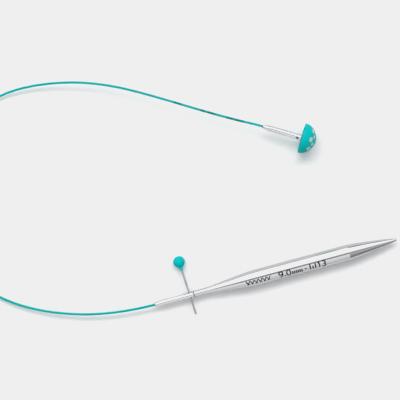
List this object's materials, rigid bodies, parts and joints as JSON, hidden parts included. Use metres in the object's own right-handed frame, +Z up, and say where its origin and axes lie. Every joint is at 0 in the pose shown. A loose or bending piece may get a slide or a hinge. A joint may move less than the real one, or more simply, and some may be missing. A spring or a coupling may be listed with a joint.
{
  "type": "circular knitting needle",
  "caption": "Circular knitting needle: hollow steel tip screwed to a swivel connector on a coated steel cord, with a ball-headed tightening key and a screw-on domed end cap.",
  "frame": {"origin": "on the table, under the middle of the box round the tip, connectors, key and cap", "axes": "+X along the needle towards its point, +Z up from the table that it lies on"},
  "size_m": [0.244, 0.1477, 0.017],
  "materials": {
    "needle_steel": "polished, with a faint lengthwise grain",
    "connector_steel": "polished",
    "screw_steel": "turned",
    "key_steel": "drawn wire",
    "cord_steel": "fine stranded wire",
    "brass": "turned",
    "cord_nylon": "smooth nylon coating with small printed dashes",
    "cap_plastic": "satin moulding with a printed ring of dots",
    "key_plastic": "satin moulding"
  },
  "bodies": {
    "cord": {"cord_jacket": "cord_nylon", "cord_core": "cord_steel", "needle_cord_stop": "screw_steel", "cap_cord_stop": "screw_steel"},
    "needle_connector": {"needle_connector_sleeve": "connector_steel", "needle_connector_screw": "screw_steel"},
    "tip_thread": {"tip_thread_bush": "brass"},
    "tip": {"needle_tip": "needle_steel"},
    "key": {"key_pin": "key_steel", "key_ball": "key_plastic"},
    "cap_connector": {"cap_connector_sleeve": "connector_steel", "cap_connector_screw": "screw_steel"},
    "cap_thread": {"cap_thread_bush": "brass"},
    "cap": {"end_cap": "cap_plastic"}
  },
  "joints": [
    {"name": "needle_swivel", "type": "hinge", "parent": "cord", "child": "needle_connector", "pos_m": [-0.06955, -0.03486, 0.0045], "axis": [1, 0, 0], "continuous": true},
    {"name": "tip_advance", "type": "slide", "parent": "needle_connector", "child": "tip_thread", "axis": [1, 0, 0], "range_m": [0, 0.0056]},
    {"name": "tip_unscrew", "type": "hinge", "parent": "tip_thread", "child": "tip", "pos_m": [-0.06955, -0.03486, 0.0045], "axis": [1, 0, 0], "range_deg": [0, 5040]},
    {"name": "key_slide", "type": "slide", "parent": "needle_connector", "child": "key", "axis": [-0.0523, 0.9966, -0.064], "range_m": [-0.0127, 0.014]},
    {"name": "cap_swivel", "type": "hinge", "parent": "cord", "child": "cap_connector", "pos_m": [0.01395, 0.04519, 0.0085], "axis": [0.8526, -0.5225, 0], "continuous": true},
    {"name": "cap_advance", "type": "slide", "parent": "cap_connector", "child": "cap_thread", "axis": [0.8526, -0.5225, 0], "range_m": [0, 0.0056]},
    {"name": "cap_unscrew", "type": "hinge", "parent": "cap_thread", "child": "cap", "pos_m": [0.01395, 0.04519, 0.0085], "axis": [0.8526, -0.5225, 0], "range_deg": [0, 5040]}
  ],
  "couplings": [
    {"joint": "tip_unscrew", "follows": "tip_advance", "rad_per_m": 15708},
    {"joint": "cap_unscrew", "follows": "cap_advance", "rad_per_m": 15708}
  ]
}
